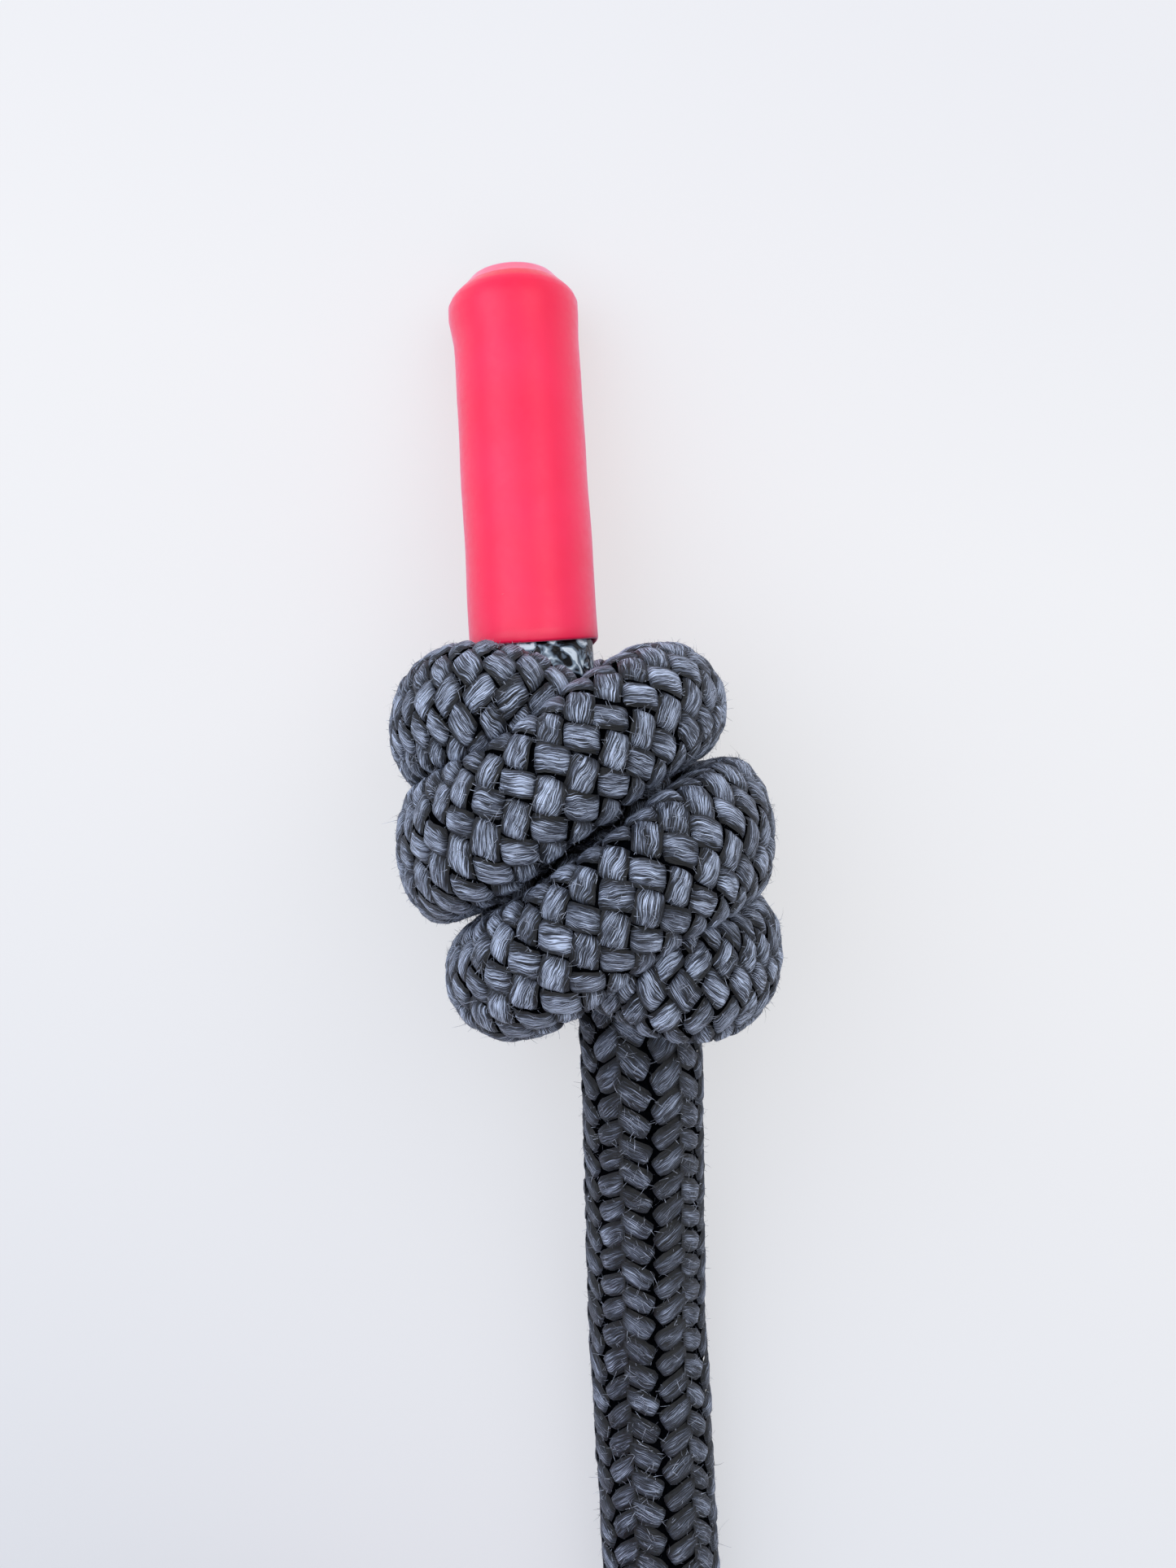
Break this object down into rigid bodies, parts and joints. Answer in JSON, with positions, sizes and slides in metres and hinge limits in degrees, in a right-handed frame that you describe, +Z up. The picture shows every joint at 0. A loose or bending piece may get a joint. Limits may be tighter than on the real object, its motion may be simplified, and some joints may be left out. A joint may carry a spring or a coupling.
{
  "type": "flow rope",
  "caption": "Thick braided rope for exercise and juggling flow, tied in a wrapped stopper knot at each end, with shrunk-on coloured caps over the tips.",
  "frame": {"origin": "middle of the flat that knot A rests on, at floor level", "axes": "+Z up from the floor, +Y along the rope towards the cap of end A, +X across it to the right when seen from above"},
  "size_m": [0.2397, 0.4589, 0.1],
  "materials": {
    "braided_polyester": "charcoal herringbone braid with a slight sheen",
    "core_fibre": "undyed fibre, never seen",
    "clear_tape": "clear glossy film over the dark rope",
    "heat_shrink": "satin shrunk tube",
    "fused_fibre": "melted and set rope end"
  },
  "bodies": {
    "root": {"knot_sheath_a": "braided_polyester", "knot_core_a": "core_fibre", "tape_wrap_a": "clear_tape", "fused_tip_a": "fused_fibre", "heat_shrink_cap_a": "heat_shrink", "knot_sheath_b": "braided_polyester", "knot_core_b": "core_fibre", "tape_wrap_b": "clear_tape", "fused_tip_b": "fused_fibre", "heat_shrink_cap_b": "heat_shrink", "run_sheath": "braided_polyester", "run_core": "core_fibre", "coil_sheath": "braided_polyester", "coil_core": "core_fibre"}
  },
  "joints": []
}
